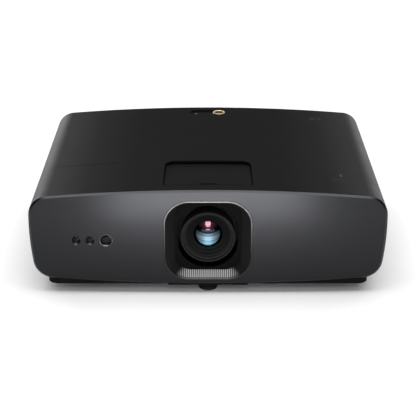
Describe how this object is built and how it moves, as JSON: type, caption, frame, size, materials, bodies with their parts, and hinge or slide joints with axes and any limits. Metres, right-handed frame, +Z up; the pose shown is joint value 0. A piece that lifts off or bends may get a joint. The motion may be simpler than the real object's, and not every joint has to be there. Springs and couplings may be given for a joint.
{
  "type": "home projector",
  "caption": "Home cinema projector with a wide crowned fascia, a central recessed lens, a sliding door over the lens controls and three screw feet.",
  "frame": {"origin": "middle of the housing's footprint, on the plane that the three foot pads stand on", "axes": "+Z up, the lens looks along -Y, +X is on the right of someone who faces the lens"},
  "size_m": [0.4205, 0.3126, 0.1353],
  "materials": {
    "cover_black": "fine-textured satin black moulding",
    "case_black": "fine-textured matte black moulding",
    "fascia_metal": "dark grey metallic paint, satin",
    "trim_silver": "bright machined ring",
    "recess_black": "deep matte black",
    "window_dark": "infrared-pass gloss plastic",
    "badge_gold": "champagne gold, brushed",
    "lens_black": "anti-reflection black",
    "lens_glass": "coated optical glass",
    "grip_rubber": "ribbed rubber",
    "knob_grey": "satin grey moulding",
    "cast_metal": "as cast, machined faces",
    "steel": "plain steel",
    "brass_part": "knurled brass",
    "copper_part": "plain copper",
    "fin_metal": "extruded fins",
    "board_green": "solder-masked board",
    "fan_plastic": "black moulding",
    "key_grey": "satin keys"
  },
  "bodies": {
    "housing": {"top_cover": "cover_black", "left_side_grille": "cover_black", "right_side_grille": "cover_black", "bottom_case": "case_black", "rear_panel": "case_black", "front_fascia": "fascia_metal", "surround_trim": "trim_silver", "lens_surround": "recess_black", "door_rails": "recess_black", "sensor_windows": "window_dark", "top_badge": "badge_gold", "engine_optics": "lens_glass", "shift_base_plate": "cast_metal", "engine_housing": "cast_metal", "engine_lid": "cast_metal", "shift_guide_rods": "steel", "rear_sockets": "steel", "network_socket": "steel", "case_screws": "steel", "mount_inserts": "brass_part", "heat_pipes": "copper_part", "led_modules": "copper_part", "heatsinks": "fin_metal", "mirror_chip_board": "board_green", "main_board": "board_green", "power_supply_board": "board_green", "keypad_board": "board_green", "fan_frames": "fan_plastic", "speakers": "fan_plastic", "ac_inlet": "fan_plastic"},
    "door": {"lens_door": "cover_black"},
    "vertical_shift": {"vertical_carriage": "cast_metal", "shift_cross_rods": "steel"},
    "horizontal_shift": {"horizontal_carriage": "cast_metal", "lens_barrel": "lens_black", "lens_front_ring": "lens_black"},
    "focus_group": {"focus_cell": "lens_black", "front_lens": "lens_glass"},
    "focus_ring_body": {"focus_ring": "grip_rubber"},
    "zoom_group": {"zoom_cell": "lens_glass"},
    "zoom_ring_body": {"zoom_ring": "grip_rubber"},
    "vertical_knob": {"vertical_shift_knob": "knob_grey"},
    "horizontal_knob": {"horizontal_shift_knob": "knob_grey"},
    "intake_rotor": {"intake_fan_rotor": "fan_plastic"},
    "exhaust_front_rotor": {"exhaust_front_fan_rotor": "fan_plastic"},
    "exhaust_rear_rotor": {"exhaust_rear_fan_rotor": "fan_plastic"},
    "front_pad": {"front_foot_pad": "grip_rubber"},
    "front_screw": {"front_foot_screw": "case_black"},
    "rear_left_pad": {"rear_left_foot_pad": "grip_rubber"},
    "rear_left_screw": {"rear_left_foot_screw": "case_black"},
    "rear_right_pad": {"rear_right_foot_pad": "grip_rubber"},
    "rear_right_screw": {"rear_right_foot_screw": "case_black"},
    "ok_key": {"ok_button": "key_grey"},
    "up_key": {"up_button": "key_grey"},
    "down_key": {"down_button": "key_grey"},
    "left_key": {"left_button": "key_grey"},
    "right_key": {"right_button": "key_grey"},
    "power_key": {"power_button": "key_grey"},
    "menu_key": {"menu_button": "key_grey"},
    "source_key": {"source_button": "key_grey"}
  },
  "joints": [
    {"name": "door_slide", "type": "slide", "parent": "housing", "child": "door", "axis": [0, 0.9986, -0.0523], "range_m": [0, 0.046]},
    {"name": "front_foot_lift", "type": "slide", "parent": "housing", "child": "front_pad", "axis": [0, 0, -1], "range_m": [0, 0.01]},
    {"name": "front_foot_turn", "type": "hinge", "parent": "front_pad", "child": "front_screw", "pos_m": [0, -0.133, 0.01], "axis": [0, 0, -1], "range_deg": [0, 2881]},
    {"name": "rear_left_foot_lift", "type": "slide", "parent": "housing", "child": "rear_left_pad", "axis": [0, 0, -1], "range_m": [0, 0.01]},
    {"name": "rear_left_foot_turn", "type": "hinge", "parent": "rear_left_pad", "child": "rear_left_screw", "pos_m": [-0.16, 0.118, 0.01], "axis": [0, 0, -1], "range_deg": [0, 2881]},
    {"name": "rear_right_foot_lift", "type": "slide", "parent": "housing", "child": "rear_right_pad", "axis": [0, 0, -1], "range_m": [0, 0.01]},
    {"name": "rear_right_foot_turn", "type": "hinge", "parent": "rear_right_pad", "child": "rear_right_screw", "pos_m": [0.16, 0.118, 0.01], "axis": [0, 0, -1], "range_deg": [0, 2881]},
    {"name": "vertical_lens_shift", "type": "slide", "parent": "housing", "child": "vertical_shift", "axis": [0, 0, 1], "range_m": [-0.0048, 0.0048]},
    {"name": "vertical_knob_turn", "type": "hinge", "parent": "housing", "child": "vertical_knob", "pos_m": [0.04, -0.091, 0.12], "axis": [0, 0, 1], "range_deg": [-865, 865]},
    {"name": "horizontal_lens_shift", "type": "slide", "parent": "vertical_shift", "child": "horizontal_shift", "axis": [1, 0, 0], "range_m": [-0.0021, 0.0021]},
    {"name": "horizontal_knob_turn", "type": "hinge", "parent": "housing", "child": "horizontal_knob", "pos_m": [-0.04, -0.091, 0.12], "axis": [0, 0, 1], "range_deg": [-379, 379]},
    {"name": "focus_ring_turn", "type": "hinge", "parent": "horizontal_shift", "child": "focus_ring_body", "pos_m": [0, -0.12, 0.0705], "axis": [0, 1, 0], "range_deg": [-35.1, 35.1]},
    {"name": "focus_travel", "type": "slide", "parent": "horizontal_shift", "child": "focus_group", "axis": [0, 1, 0], "range_m": [-0.0015, 0.0015]},
    {"name": "zoom_ring_turn", "type": "hinge", "parent": "horizontal_shift", "child": "zoom_ring_body", "pos_m": [0, -0.106, 0.0705], "axis": [0, 1, 0], "range_deg": [-25.1, 25.1]},
    {"name": "zoom_travel", "type": "slide", "parent": "horizontal_shift", "child": "zoom_group", "axis": [0, 1, 0], "range_m": [-0.006, 0.006]},
    {"name": "intake_fan_spin", "type": "hinge", "parent": "housing", "child": "intake_rotor", "pos_m": [-0.182, -0.02, 0.07], "axis": [1, 0, 0], "continuous": true},
    {"name": "exhaust_front_fan_spin", "type": "hinge", "parent": "housing", "child": "exhaust_front_rotor", "pos_m": [0.182, -0.06, 0.07], "axis": [1, 0, 0], "continuous": true},
    {"name": "exhaust_rear_fan_spin", "type": "hinge", "parent": "housing", "child": "exhaust_rear_rotor", "pos_m": [0.182, 0.032, 0.07], "axis": [1, 0, 0], "continuous": true},
    {"name": "ok_press", "type": "slide", "parent": "housing", "child": "ok_key", "axis": [0, -1, 0], "range_m": [0, 0.0006], "stiffness_N_per_m": 1000, "springref_m": -0.001},
    {"name": "up_press", "type": "slide", "parent": "housing", "child": "up_key", "axis": [0, -1, 0], "range_m": [0, 0.0006], "stiffness_N_per_m": 1000, "springref_m": -0.001},
    {"name": "down_press", "type": "slide", "parent": "housing", "child": "down_key", "axis": [0, -1, 0], "range_m": [0, 0.0006], "stiffness_N_per_m": 1000, "springref_m": -0.001},
    {"name": "left_press", "type": "slide", "parent": "housing", "child": "left_key", "axis": [0, -1, 0], "range_m": [0, 0.0006], "stiffness_N_per_m": 1000, "springref_m": -0.001},
    {"name": "right_press", "type": "slide", "parent": "housing", "child": "right_key", "axis": [0, -1, 0], "range_m": [0, 0.0006], "stiffness_N_per_m": 1000, "springref_m": -0.001},
    {"name": "power_press", "type": "slide", "parent": "housing", "child": "power_key", "axis": [0, -1, 0], "range_m": [0, 0.0006], "stiffness_N_per_m": 1000, "springref_m": -0.001},
    {"name": "menu_press", "type": "slide", "parent": "housing", "child": "menu_key", "axis": [0, -1, 0], "range_m": [0, 0.0006], "stiffness_N_per_m": 1000, "springref_m": -0.001},
    {"name": "source_press", "type": "slide", "parent": "housing", "child": "source_key", "axis": [0, -1, 0], "range_m": [0, 0.0006], "stiffness_N_per_m": 1000, "springref_m": -0.001}
  ],
  "couplings": [
    {"joint": "front_foot_turn", "follows": "front_foot_lift", "rad_per_m": 5026.5},
    {"joint": "rear_left_foot_turn", "follows": "rear_left_foot_lift", "rad_per_m": 5026.5},
    {"joint": "rear_right_foot_turn", "follows": "rear_right_foot_lift", "rad_per_m": 5026.5},
    {"joint": "vertical_knob_turn", "follows": "vertical_lens_shift", "rad_per_m": 3141.6},
    {"joint": "horizontal_knob_turn", "follows": "horizontal_lens_shift", "rad_per_m": 3141.6},
    {"joint": "focus_ring_turn", "follows": "focus_travel", "rad_per_m": 407.24},
    {"joint": "zoom_ring_turn", "follows": "zoom_travel", "rad_per_m": 72.722}
  ]
}
